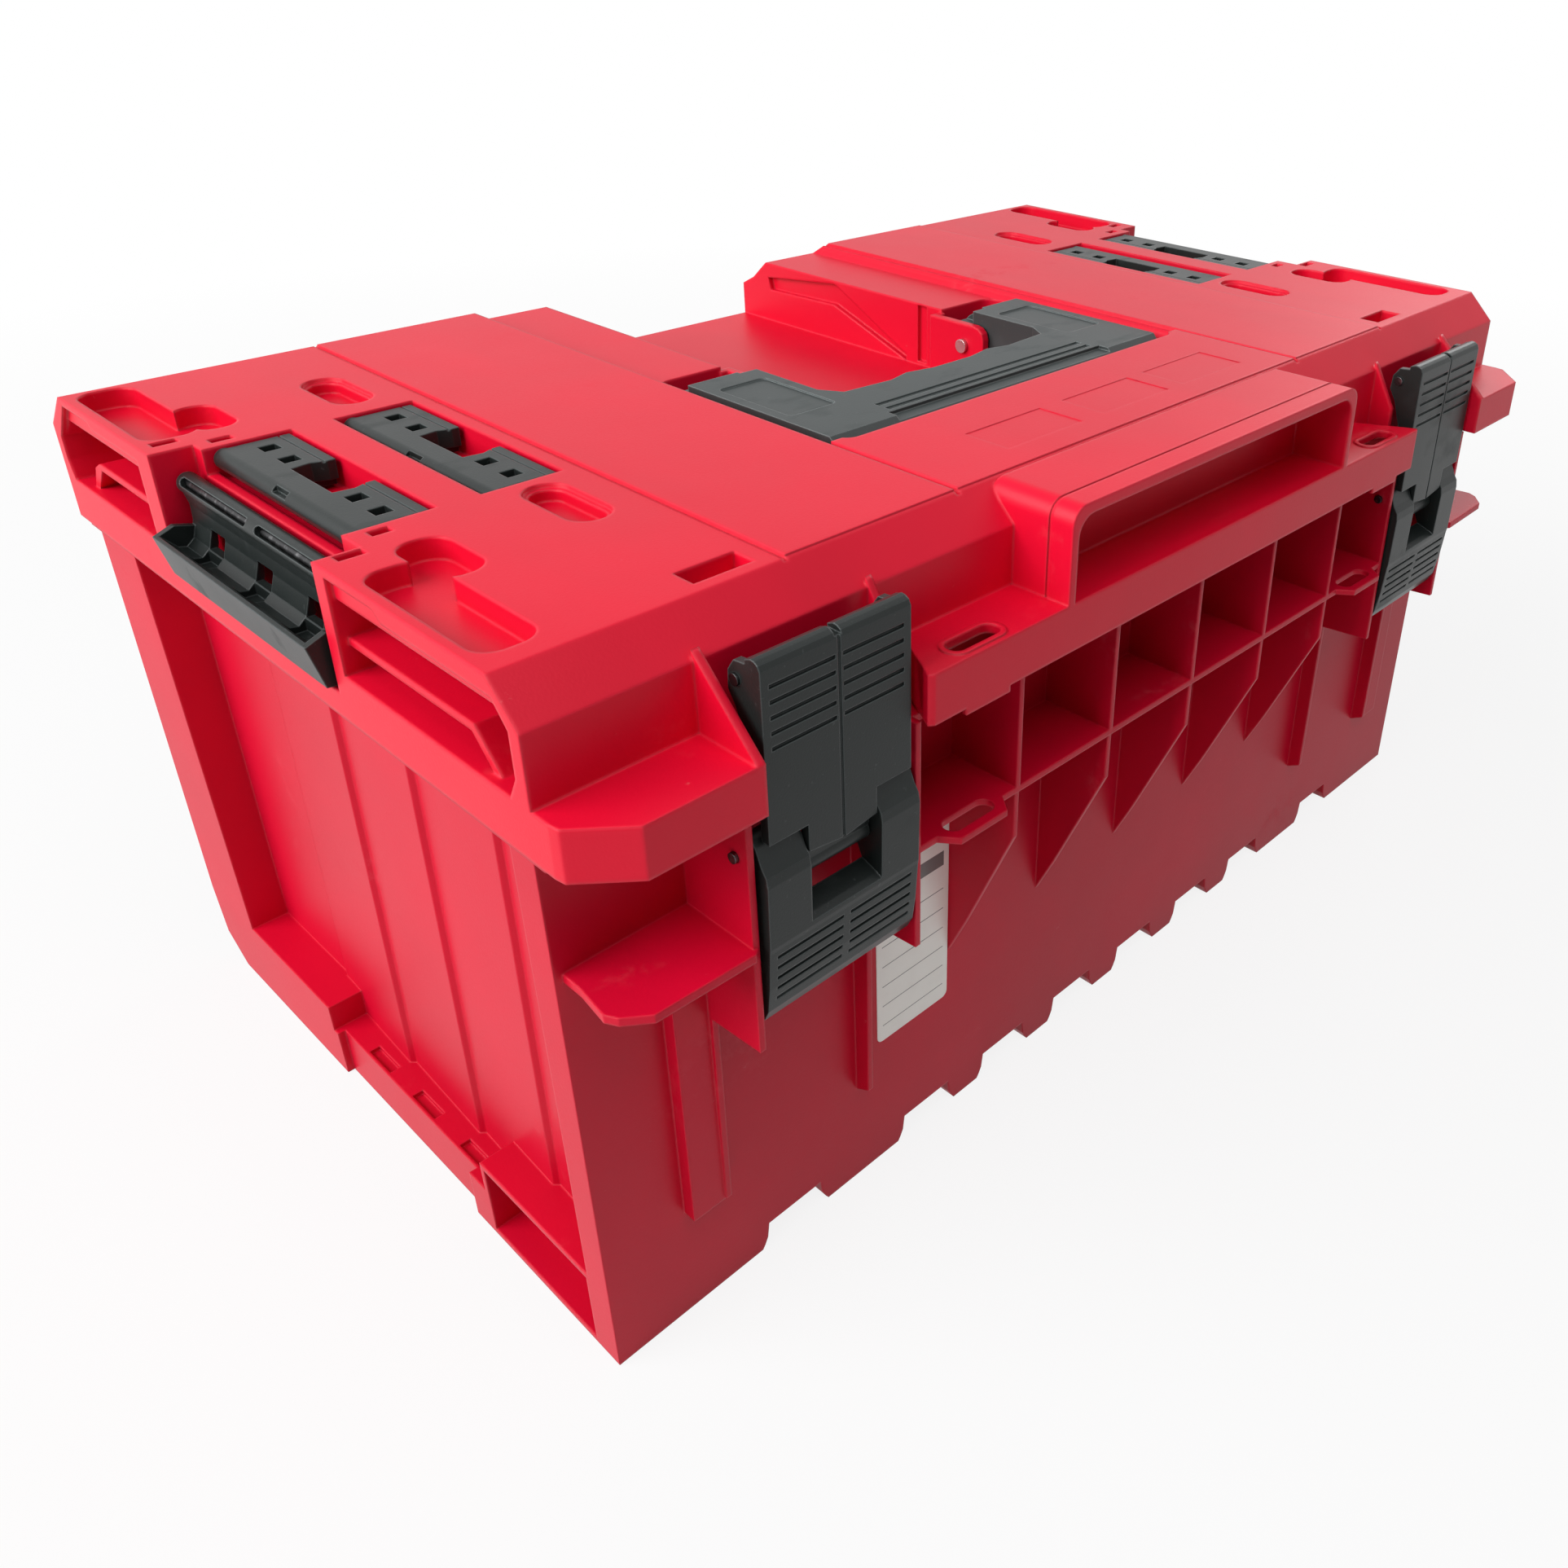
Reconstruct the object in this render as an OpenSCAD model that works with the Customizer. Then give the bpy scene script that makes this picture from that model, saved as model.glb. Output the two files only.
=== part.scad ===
// Large stacking tool case: a moulded tub and lid with a folding carry handle,
// two front latches, two side clips and four stacking flaps in the lid.
// The case stands on its feet with its front towards -Y and its length along X.

/* [Case] */
// Length over the ends of the lid
case_l = 585; // [560:1:640]
// Height from the feet to the lid's end zones
case_h = 291; // [285:1:330]
// Height of the lid
lid_h = 55; // [55:0.5:60]
// Wall thickness of the two shells
wall = 3; // [2.5:0.1:3.4]
// Depth of the lid's flat top from front to back
flat_w = 314; // [308:1:318]
// Slope of the lid's front edge, measured inwards
front_bevel = 13.5; // [10:0.5:15]
// Slope of the lid's back edge, measured inwards
back_bevel = 17; // [15:0.5:19]
// How far the front flange stands out past the lid's wall
flange_out = 26.5; // [25:0.5:28]
// Gap between the lid's edge and the tub's rim
rim_gap = 0.5; // [0.4:0.1:0.8]
// Running clearance of every pin, on the radius
pin_play = 0.05; // [0.02:0.01:0.1]

/* [Tub] */
// How far the lid stands out past the tub's corner posts
lid_lip = 5.5; // [4.5:0.5:7]
// Draft of the tub's ends over its height
end_draft = 2.5; // [1:0.5:4]
// Front wall of the tub, behind the lid's front wall
front_set = 13.5; // [12:0.5:15]
// Rear wall of the tub, in front of its corner posts
rear_set = 8; // [7:0.5:9]
// Depth of the recess in each end
end_recess = 19; // [16:1:21]
// Height of the ledge below each end recess
ledge_h = 23; // [21:1:26]
// Height of the feet at the corners
foot_h = 38; // [36:1:42]
// Underside of the tub's floor above the ground
floor_lift = 14; // [13.5:0.5:16]
// Spacing of the notches along the front skirt
notch_pitch = 50; // [48:1:52]
// Height of the notches
notch_h = 12; // [9:0.5:12.5]

/* [Front cells] */
// Shelf top, below the lid's top
shelf_drop = 107; // [104:1:112]
// Reach of the shelf and webs out of the front wall
shelf_out = 33; // [30:0.5:34]
// Spacing of the webs
web_pitch = 56; // [52:1:57]
// Thickness of the webs and gussets
web_t = 2.2; // [1.8:0.1:3]
// How far each padlock eye lies inwards of its latch
eye_off = 62; // [60:1:64]
// Length of each padlock eye
eye_l = 24; // [20:1:26]
// Width of each padlock eye
eye_w = 8; // [6:0.5:9]

/* [Latches] */
// Middle of each latch, inwards of the lid's end
latch_in = 92.5; // [91.5:0.5:93.5]
// Width of the claw
latch_w = 60; // [56:1:61]
// Width of the lever
lever_w = 65.4; // [62:0.2:66]
// Lever pin below the lid's top
lever_drop = 74.5; // [73.5:0.5:75.5]
// Claw pin below the lever pin
claw_arm = 15; // [14.5:0.5:16]
// Diameter of the lever pin
lever_pin_d = 3.8; // [3.4:0.1:3.9]
// Diameter of the claw pin
claw_pin_d = 4; // [3:0.1:4.4]
// Width of the tongue between the lever's shoulders
tongue_w = 29; // [26:0.5:31]

/* [Front pull] */
// Width of the hooded pull
pull_w = 194; // [184:1:200]

/* [Hinge] */
// Middle of each hinge from the middle of the case
hinge_x = 165; // [150:1:190]
// Diameter of the hinge rods
hinge_rod_d = 5; // [4:0.1:6]
// Outer radius of the knuckles
knuckle_r = 6; // [5.5:0.1:6.2]

/* [Handle] */
// Half width of the handle
handle_half = 104.5; // [103:0.5:105]
// Width of each arm
arm_w = 35; // [33:0.5:35.5]
// Length of the handle in front of its pin
handle_reach = 95; // [88:0.5:96]
// Depth of the grip bar, front to back
grip_w = 34; // [28:1:38]
// Handle pin behind the middle of the case
handle_pin_y = 3.5; // [2:0.5:5]
// Handle pin below the lid's top
handle_pin_drop = 18; // [17:0.5:19]
// Diameter of the handle pins
handle_pin_d = 6; // [5:0.2:7]
// Depth of the handle well at the back
well_d = 37.5; // [36:0.5:39.5]

/* [Side clips] */
// Length of each clip
clip_l = 120; // [110:1:122]
// Middle of the clips, behind the middle of the case
clip_y = 4; // [3:0.5:5]
// Clip pin inside the lid's end
clip_pin_in = 10; // [9.5:0.5:10.5]
// Clip pin below the lid's top
clip_pin_drop = 12; // [11:0.5:12.5]
// Outer radius of the clip's barrel
clip_barrel_r = 4; // [3.7:0.1:4.4]
// Diameter of the clip rod
clip_rod_d = 4; // [3:0.1:4.4]

/* [Stacking flaps] */
// Length of each flap
flap_l = 102; // [96:1:104]
// Width of each flap
flap_w = 27.5; // [26:0.5:29]
// Outer flap's hinge side, inside the lid's end
flap_in = 18.5; // [18:0.5:20]
// Spacing of the two flaps
flap_pitch = 48; // [46.5:0.5:49]
// Middle of the flaps, behind the middle of the case
flap_y = 6.5; // [5.5:0.5:7.5]
// Radius of the flap's hinge barrel
flap_barrel_r = 4; // [3.6:0.1:4.2]

/* [Hidden] */
$fn = 48;

red = [0.80, 0.05, 0.09];
grey = [0.22, 0.24, 0.24];
steel = [0.72, 0.73, 0.75];
black = [0.08, 0.08, 0.09];

bite = 1;
half_l = case_l / 2;
flat_y = flat_w / 2;
lid_front = flat_y + front_bevel;
lid_back = flat_y + back_bevel;
front_y = lid_front + flange_out;
split = case_h - lid_h;
rim_z = split - rim_gap;
hinge_y = lid_back + knuckle_r + 0.5;
hinge_z = split;
back_y = hinge_y + knuckle_r;
mid_shift = (front_y - back_y) / 2;

// Heights that the lid and the tub share
bevel_drop = 13;
ledge_drop = 36;
ledge_z = case_h - ledge_drop;
step_h = 0.7;
outer_step_x = half_l - 102.5;

// Tub walls
tub_front = lid_front - front_set;
tub_half = half_l - lid_lip;
post_back = lid_back;
tub_back = post_back - rear_set;
end_wall_x = tub_half - end_recess;
inner_x = end_wall_x - wall;
inner_front = tub_front - wall;
inner_back = tub_back - wall;
floor_top = floor_lift + wall;
front_post_in = tub_front - 13;
rear_post_in = post_back - 44;
foot_y = 53.5;
front_foot_y = 72;
ledge_x = tub_half - end_draft - 3;
shelf_z = case_h - shelf_drop;
shelf_y = tub_front + shelf_out;
wall_low_z = case_h - 152;
rib_low_z = case_h - 243;
end_steps = [for (i = [0:3]) 68 - i * 56.5];
latch_x = half_l - latch_in;
eye_x = latch_x - eye_off;
latch_wall = 2.4;
cheek_in = latch_x - lever_w / 2 - 2.8;
cheek_out = latch_x + lever_w / 2 + 3.1;

// Latch pins and faces
lever_pin_y = -(tub_front + 27);
lever_pin_z = case_h - lever_drop;
lever_barrel_r = 5;
claw_pin_z = lever_pin_z - claw_arm;
claw_face = lever_pin_y - 8;
claw_back = claw_face + 3.6;
claw_top = case_h - 8;
claw_low = case_h - 70.5;
hook_rod_y = claw_back + 7.4;
hook_rod_z = claw_top - 9;
hook_rod_r = 2;

// Handle, well and pins
handle_pin_z = case_h - handle_pin_drop;
well_half = 71;
well_front = handle_pin_y - handle_reach - 3;
well_z = case_h - well_d;
well_low_z = well_z - 6.5;
arm_bay_half = handle_half + 2;
inner_step_x = arm_bay_half + 5.5;
arm_bay_back = handle_pin_y + handle_pin_drop + 3;
well_back = lid_back + 9.5;
strip_drop = 5;
ear_t = 4;
ear_x = handle_half - arm_w - 1 - ear_t;

// Side clips
clip_pin_x = half_l - clip_pin_in;
clip_pin_z = case_h - clip_pin_drop;
clip_bay_l = clip_l + 6;
clip_bay_x = half_l - 15.5;
clip_bay_z = case_h - 45.5;
hollow_x = clip_bay_x - 26;
bay_front_y = clip_y - clip_bay_l / 2 - 7;
bay_rear_y = clip_y + clip_bay_l / 2 + 13;
oval_ys = [bay_front_y - 6, bay_rear_y + 11];

// Stacking flaps
flap_pin_in = flap_in + flap_barrel_r;
flap_pin_drop = flap_barrel_r + 0.8;
flap_pin_z = case_h - flap_pin_drop;
flap_pin_d = 4;
flap_pin_l = 2.6;
flap_gap = 2;
flap_bay_l = flap_l + 2 * flap_gap;
flap_bay_z = case_h - 12.5;
pad_t = 10.2;

// Seal ring
seal_x = end_wall_x + 5.5;
seal_front = tub_front + 3.5;
seal_back = tub_back - 1;
seal_w = 5;
seal_h = 3;

module yz(points, x0, x1) {
    translate([x0, 0, 0]) rotate([90, 0, 90]) linear_extrude(x1 - x0) polygon(points);
}

module xz(points, y0, y1) {
    translate([0, y1, 0]) rotate([90, 0, 0]) linear_extrude(y1 - y0) polygon(points);
}

module block(x0, x1, y0, y1, z0, z1) {
    translate([x0, y0, z0]) cube([x1 - x0, y1 - y0, z1 - z0]);
}

module rod_x(x0, x1, y, z, r) {
    translate([x0, y, z]) rotate([0, 90, 0]) cylinder(h = x1 - x0, r = r);
}

module rod_y(y0, y1, x, z, r) {
    translate([x, y1, z]) rotate([90, 0, 0]) cylinder(h = y1 - y0, r = r);
}

module both() {
    children();
    mirror([1, 0, 0]) children();
}

// Everything is drawn about the middle of the lid's flat top, and the footprint's middle is the origin.
module place() {
    translate([0, mid_shift, 0]) children();
}

module racetrack_x(length, width) {
    square([length - width, width], center = true);
    for (s = [-1, 1]) translate([s * (length - width) / 2, 0]) circle(d = width);
}

module soft_square(x0, x1, y0, y1, r) {
    translate([x0 + r, y0]) square([x1 - x0 - 2 * r, y1 - y0]);
    translate([x0, y0 + r]) square([x1 - x0, y1 - y0 - 2 * r]);
    for (x = [x0 + r, x1 - r], y = [y0 + r, y1 - r]) translate([x, y]) circle(r);
}

module ring(x, front, back, width, z0, z1) {
    difference() {
        block(-x, x, -front, back, z0, z1);
        block(-x + width, x - width, -front + width, back - width, z0 - bite, z1 + bite);
    }
}

// Tub
module tub_profile() {
    intersection() {
        yz([[-tub_front, 0], [post_back - 20, 0], [post_back - 4, 12], [post_back, 38],
            [post_back, rim_z], [-tub_front, rim_z]], -tub_half, tub_half);
        xz([[-tub_half + end_draft, 0], [tub_half - end_draft, 0],
            [tub_half, rim_z], [-tub_half, rim_z]], -tub_front - bite, post_back + bite);
    }
}

module tub_end_recess() {
    top = rim_z - 4;
    outer = tub_half + bite;
    face = end_wall_x + 1.2;
    ridge = end_wall_x + 3.2;
    difference() {
        yz([[-front_post_in, foot_h], [-front_foot_y, foot_h], [-front_foot_y, ledge_h],
            [foot_y, ledge_h], [foot_y, foot_h - 2], [rear_post_in, foot_h - 2],
            [rear_post_in + 8, top], [-front_post_in, top]], end_wall_x, outer);
        // Panels of the end wall, each leaning a little out towards the front
        linear_extrude(rim_z) polygon(concat(
            [[end_wall_x - bite, end_steps[0]], [face, end_steps[0]]],
            [for (i = [1:3], k = [0, 1]) k == 0 ? [ridge, end_steps[i]] : [face, end_steps[i] - 2]],
            [[ridge, -front_post_in - bite], [end_wall_x - bite, -front_post_in - bite]]));
    }
    // Open box in the front foot
    block(end_wall_x + 2, outer, -front_post_in + 1, -front_foot_y - 2.5, 2.5, foot_h - 2.5);
    // The ledge is set in between the feet
    block(ledge_x, outer, -front_foot_y + 12, foot_y - 3.5, -bite, ledge_h + bite);
}

module tub_skirt_notches() {
    depth = 10;
    top = notch_h;
    for (s = [-1, 1], at = [notch_pitch / 2, notch_pitch * 1.5, notch_pitch * 2.5, latch_x]) {
        x = s * at;
        intersection() {
            xz([[x - 18, -bite], [x + 18, -bite], [x + 16, 2], [x + 14.5, 5], [x + 13.5, top],
                [x - 13.5, top], [x - 14.5, 5], [x - 16, 2]], -tub_front - bite, -tub_front + depth);
            yz([[-tub_front - bite, -bite], [-tub_front + depth, -bite],
                [-tub_front + depth, 3.5], [-tub_front - bite, top + 1]], x - 20, x + 20);
        }
    }
}

module tub_underside() {
    x1 = inner_x - 2;
    y0 = -tub_front + 13;
    y1 = tub_back - 9;
    difference() {
        block(-x1, x1, y0, y1, -bite, floor_lift);
        for (i = [-4:4]) translate([i * 56, 0, 0]) block(-1.1, 1.1, y0 - bite, y1 + bite, -2, floor_lift + bite);
        for (y = [-75, 5, 85]) block(-x1 - bite, x1 + bite, y - 1.1, y + 1.1, -2, floor_lift + bite);
    }
    // Hollow under each end ledge
    both() block(end_wall_x - 1, ledge_x - 3, -front_foot_y + 4, foot_y - 4, -bite, ledge_h - 4);
}

module front_shelf() {
    tab = 18;
    eye_y = shelf_y - 1;
    difference() {
        union() {
            linear_extrude(2.6) {
                polygon([[-cheek_in, -tub_front + bite], [cheek_in, -tub_front + bite],
                    [cheek_in, -shelf_y], [-cheek_in, -shelf_y]]);
                for (s = [-1, 1]) translate([s * eye_x, -shelf_y])
                    polygon([[-tab, 1], [-tab + 6, -front_y + shelf_y], [tab - 6, -front_y + shelf_y], [tab, 1]]);
            }
        }
        for (s = [-1, 1]) translate([s * eye_x, -eye_y, -bite])
            linear_extrude(5) racetrack_x(eye_l, eye_w);
    }
}

module corner_shelf() {
    linear_extrude(3.2) polygon([[cheek_out - bite, -tub_front + bite], [tub_half - 3.4, -tub_front + bite],
        [tub_half - 3.4, -tub_front - 9.7], [tub_half - 1.7, -tub_front - 23.5], [tub_half - 4, -tub_front - 28],
        [tub_half - 12.1, -shelf_y - 1.4], [cheek_out + 2, -shelf_y - 2.3], [cheek_out - bite, -shelf_y]]);
}

module latch_cheek(x) {
    // Deep upper part that carries the lever pin, and a low rib below it
    yz([[-tub_front + bite, rib_low_z], [-tub_front - 7, rib_low_z + 4], [-tub_front - 8, wall_low_z],
        [-shelf_y, wall_low_z + 2], [-shelf_y, rim_z - 1], [-tub_front + bite, rim_z - 1]],
        x - latch_wall / 2, x + latch_wall / 2);
}

module front_cells() {
    cell_top = rim_z - 1;
    for (i = [-2:2]) {
        x = i * web_pitch;
        block(x - web_t / 2, x + web_t / 2, -shelf_y, -tub_front + bite, shelf_z - bite, cell_top);
        yz([[-tub_front + bite, shelf_z - 1], [-shelf_y + 0.5, shelf_z - 1], [-shelf_y + 0.5, case_h - 130],
            [-tub_front - 9, case_h - 184], [-tub_front + bite, case_h - 205]], x - web_t / 2, x + web_t / 2);
    }
    // The rim runs forward over the cells, below the lid's flange and behind the padlock eyes
    block(-cheek_in, cheek_in, -shelf_y + 4.3, -tub_front + bite, rim_z - 4, cell_top);
    translate([0, 0, shelf_z - 2.6]) front_shelf();
    both() {
        translate([0, 0, shelf_z - 3.2]) corner_shelf();
        latch_cheek(cheek_in);
        latch_cheek(cheek_out);
        // Box rib outside the outer cheek
        block(cheek_out, cheek_out + 15, -tub_front - 6, -tub_front + bite, rib_low_z + 3, shelf_z - bite);
    }
}

module tub_rim() {
    block(-half_l + 2.5, half_l - 2.5, -lid_front + 1.5, lid_back - 1.5, rim_z - 4, rim_z);
    // It is a little wider behind the latches
    block(-cheek_out, cheek_out, -lid_front - 5, -lid_front + 1.5 + bite, rim_z - 4, rim_z - 1);
}

module rear_ribs() {
    for (x = [-220, -110, -60, 0, 60, 110, 220])
        block(x - 1.2, x + 1.2, tub_back - bite, post_back - 1, floor_top + 6, rim_z - 3);
}

module knuckle(x0, x1) {
    rod_x(x0, x1, hinge_y, hinge_z, knuckle_r);
}

module base_tub() {
    knuckle_w = 20;
    place() color(red) difference() {
        union() {
            difference() {
                tub_profile();
                both() tub_end_recess();
                // Rear wall set in between the corner posts
                block(-end_wall_x + 8, end_wall_x - 8, tub_back, post_back + bite, floor_top + 4, rim_z - 4);
            }
            tub_rim();
            front_cells();
            rear_ribs();
            both() for (x = [hinge_x - 40, hinge_x + 20]) {
                knuckle(x, x + knuckle_w);
                yz([[tub_back - bite, hinge_z - 34], [hinge_y + 1, hinge_z - knuckle_r + 0.4],
                    [hinge_y, hinge_z - 0.6], [lid_back - 2, rim_z], [tub_back - bite, rim_z - 0.5]], x, x + knuckle_w);
            }
        }
        block(-inner_x, inner_x, -inner_front, inner_back, floor_top, case_h);
        tub_skirt_notches();
        tub_underside();
        both() {
            for (y = [21, -16, -54]) translate([ledge_x - 3.6, y, 0])
                block(-2.2, 2.2, -9, 9, ledge_h - 1.8, ledge_h + bite);
            rod_x(cheek_in - 3, cheek_out + 3, lever_pin_y, lever_pin_z, lever_pin_d / 2 + pin_play);
            rod_x(hinge_x - 45, hinge_x + 45, hinge_y, hinge_z, hinge_rod_d / 2 + pin_play);
            // Room for the lid's knuckle
            rod_x(hinge_x - 20, hinge_x + 20, hinge_y, hinge_z, knuckle_r + 0.8);
        }
    }
}

// Lid
module lid_outline(inset, floor_z) {
    polygon([[-flat_y + inset * 0.4, case_h - inset], [-lid_front + inset, case_h - bevel_drop - inset * 0.4],
        [-lid_front + inset, floor_z], [lid_back - inset, floor_z],
        [lid_back - inset, case_h - bevel_drop - 2 - inset * 0.4], [flat_y - inset * 0.4, case_h - inset]]);
}

module along_x(x0, x1) {
    translate([x0, 0, 0]) rotate([90, 0, 90]) linear_extrude(x1 - x0) children();
}

module hood_outline(half, low, high, r) {
    translate([-half, low]) square([2 * half, high - low - r]);
    translate([-half + r, low]) square([2 * half - 2 * r, high - low]);
    for (s = [-1, 1]) translate([s * (half - r), high - r]) circle(r);
}

module along_y(y0, y1) {
    translate([0, y1, 0]) rotate([90, 0, 0]) linear_extrude(y1 - y0) children();
}

module pull_hood() {
    // Hooded front pull with its seam groove
    difference() {
        along_y(-front_y, -flat_y - 2) hood_outline(pull_w / 2, ledge_z - 4, case_h + step_h, 7);
        difference() {
            along_y(-front_y + 10, -front_y + 11) hood_outline(pull_w / 2 + 2, ledge_z, case_h + 2, 7);
            along_y(-front_y + 9, -front_y + 12)
                hood_outline(pull_w / 2 - 0.6, ledge_z, case_h + step_h - 0.6, 6.4);
        }
    }
}

module front_flange() {
    back_x = latch_x - 48;
    front_x = latch_x - 34;
    difference() {
        union() {
            translate([0, 0, split]) linear_extrude(ledge_z - split) polygon([[-back_x, -lid_front + bite],
                [-front_x, -front_y + 1.5], [-front_x + 2, -front_y], [front_x - 2, -front_y],
                [front_x, -front_y + 1.5], [back_x, -lid_front + bite]]);
            both() block(eye_x - 11, eye_x + 11, -front_y, -front_y + 1.8, split - 2.6, split + bite);
            // Raised rims of the padlock slots
            for (s = [-1, 1]) translate([s * eye_x, -shelf_y + 1, ledge_z - 0.5])
                linear_extrude(1.2) racetrack_x(eye_l + 4, eye_w + 4);
        }
        translate([0, 0, split - bite]) linear_extrude(ledge_z - split - wall + bite) polygon([
            [-back_x + wall, -lid_front], [-front_x + wall + 2.5, -front_y + wall],
            [front_x - wall - 2.5, -front_y + wall], [back_x - wall, -lid_front]]);
        for (s = [-1, 1]) translate([s * eye_x, -shelf_y + 1, ledge_z - wall - bite])
            linear_extrude(wall + 3 * bite) racetrack_x(eye_l, eye_w);
    }
}

module corner_block() {
    x_in = latch_x + latch_w / 2 + 3.5;
    z_top = ledge_z - 1;
    difference() {
        union() {
            translate([0, 0, split]) linear_extrude(z_top - split) polygon([[x_in, -lid_front + bite],
                [x_in, -front_y], [half_l - 17, -front_y], [half_l - 0.6, -lid_front - 12], [half_l, -lid_front - 8],
                [half_l, -lid_front + bite]]);
            yz([[-lid_front + bite, case_h - 9.5], [-lid_front, case_h - 10.5], [-front_y, z_top],
                [-front_y, z_top - 3], [-lid_front + bite, z_top - 3]], x_in, x_in + wall);
        }
        translate([0, 0, split - bite]) linear_extrude(z_top - split - wall + bite) polygon([
            [x_in + wall, -lid_front], [x_in + wall, -front_y + wall], [half_l - 18, -front_y + wall],
            [half_l - wall - 0.5, -lid_front - 10], [half_l - wall, -lid_front]]);
    }
}

module latch_fin() {
    x = latch_x - latch_w / 2 - 4.5;
    yz([[-lid_front + bite, case_h - 9.5], [-lid_front, case_h - 10.5], [-lid_front - 11, case_h - 30],
        [-lid_front - 11, split + 2], [-lid_front + bite, split + 2]], x, x + 2.5);
}

module end_bay_outlines() {
    floor_z = ledge_z - 1;
    ceiling = case_h - 10.5;
    polygon([[bay_front_y, floor_z], [-lid_front + 10, floor_z], [-lid_front + 5.5, floor_z + 8],
        [-lid_front + 5.5, case_h - 16], [-lid_front + 13.5, ceiling], [bay_front_y, ceiling]]);
    polygon([[bay_rear_y, floor_z], [lid_back - 9, floor_z], [lid_back - 6, floor_z + 8], [lid_back - 6, case_h - 19],
        [lid_back - 14, ceiling], [bay_rear_y, ceiling]]);
}

module end_band_outlines() {
    // The bays reach higher in the thin band at the very end of the lid
    floor_z = ledge_z - 1;
    high = case_h - 3;
    polygon([[bay_front_y, floor_z], [-lid_front + 10, floor_z], [-lid_front + 5.5, floor_z + 8],
        [-lid_front + 5.5, case_h - 14], [-lid_front + 12, case_h - 6.3], [bay_front_y - 34, case_h - 6.3],
        [bay_front_y - 29.5, high], [bay_front_y, high]]);
    polygon([[bay_rear_y, floor_z], [lid_back - 9, floor_z], [lid_back - 6, floor_z + 8], [lid_back - 6, case_h - 19],
        [lid_back - 20, high], [bay_rear_y + 48, high], [bay_rear_y + 45, case_h - 5.6], [bay_rear_y, case_h - 5.6]]);
}

module end_bay_shelves() {
    shelf = case_h - 24.5;
    bay_low = ledge_z - 2;
    yz([[bay_front_y + bite, shelf], [-lid_front + 31.5, shelf], [-lid_front + 18.5, bay_low],
        [-lid_front + 23, bay_low], [-lid_front + 33, shelf - 2.6], [bay_front_y + bite, shelf - 2.6]],
        hollow_x + 2, half_l - 3.5);
    yz([[bay_rear_y - bite, shelf], [lid_back - 33, shelf], [lid_back - 27, shelf - 3], [lid_back - 20, bay_low],
        [lid_back - 24.5, bay_low], [lid_back - 34, shelf - 2.6], [bay_rear_y - bite, shelf - 2.6]],
        hollow_x + 2, half_l - 3.5);
}

module keyhole_recess() {
    // Rounded slot with a side eye, once at the front and once at the back
    translate([0, 0, case_h - 8]) linear_extrude(10) {
        soft_square(half_l - 24.5, half_l - 4, -lid_front + 22, bay_front_y - 12.5, 8);
        soft_square(half_l - 38, half_l - 20.5, bay_front_y - 33, bay_front_y + 0.5, 8);
        soft_square(half_l - 25, half_l - 4, bay_rear_y, lid_back - 20, 8);
        soft_square(half_l - 38.5, half_l - 22.5, bay_rear_y - 1.5, bay_rear_y + 31, 7.5);
    }
}

module oval_recess(y) {
    translate([half_l - 80.5, y, case_h - 6]) rotate([0, 0, 90]) linear_extrude(8) racetrack_x(36, 13);
    translate([half_l - 80.5, y, case_h - 1.6]) rotate([0, 0, 90]) linear_extrude(4) racetrack_x(40, 17);
}

module lid_top_blocks() {
    // Material hanging below the top plate, which the recesses are cut into
    low = case_h - wall + 0.5;
    yz([[well_front - wall, well_low_z - wall], [-10, well_low_z - wall], [20, well_z - wall],
        [lid_back - bite, well_z - wall], [lid_back - bite, case_h - bevel_drop - 3.5], [flat_y - 2, low],
        [well_front - wall, low]], -arm_bay_half - wall, arm_bay_half + wall);
    both() {
        block(clip_bay_x - 87, clip_bay_x - 20, flap_y - flap_bay_l / 2 - wall, flap_y + flap_bay_l / 2 + wall,
            flap_bay_z - wall, low);
        for (y = oval_ys) block(half_l - 92, half_l - 69, y - 23, y + 23, case_h - 8.5, low);
        block(half_l - 97.5, half_l - 68.5, -flat_y + 2, -flat_y + 18, case_h - 10.5, low);
    }
}

module rear_housing() {
    // The well runs out over the lid's back edge in a housing of its own
    yz([[lid_back - 4, case_h - 14], [lid_back, case_h - 15], [well_back, case_h - 20], [well_back, case_h - 40.5],
        [well_back - 5.5, case_h - 44], [lid_back - bite, case_h - 44]], -inner_step_x, inner_step_x);
}

module handle_well() {
    far = well_back + 10;
    // Sloped side strips, the open rear well and the arm bays
    xz([[-inner_step_x, case_h + bite], [-inner_step_x, case_h + step_h], [-inner_step_x + 5, case_h - strip_drop],
        [inner_step_x - 5, case_h - strip_drop], [inner_step_x, case_h + step_h], [inner_step_x, case_h + bite]],
        well_front + 3, far);
    block(-well_half, well_half, arm_bay_back - bite, far, well_z, case_h + bite);
    intersection() {
        translate([0, 0, well_low_z]) linear_extrude(well_d + 10)
            soft_square(-arm_bay_half, arm_bay_half, well_front, arm_bay_back, 7);
        yz([[well_front - bite, well_low_z], [-10, well_low_z], [20, well_z], [arm_bay_back + bite, well_z],
            [arm_bay_back + bite, case_h + bite], [well_front - bite, case_h + bite]],
            -arm_bay_half - bite, arm_bay_half + bite);
    }
    // Stepped channel and upright groove in the side walls
    both() {
        yz([[flat_y + 4, case_h - 13], [105, case_h - 6.8], [50, case_h - 34], [50, well_z + 0.4],
            [106, case_h - 18.3], [flat_y + 2, case_h - 19.8]], well_half - bite, well_half + 3);
        block(well_half - bite, well_half + 2, 35, 41.5, well_z + 2, case_h - 6);
    }
}

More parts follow.
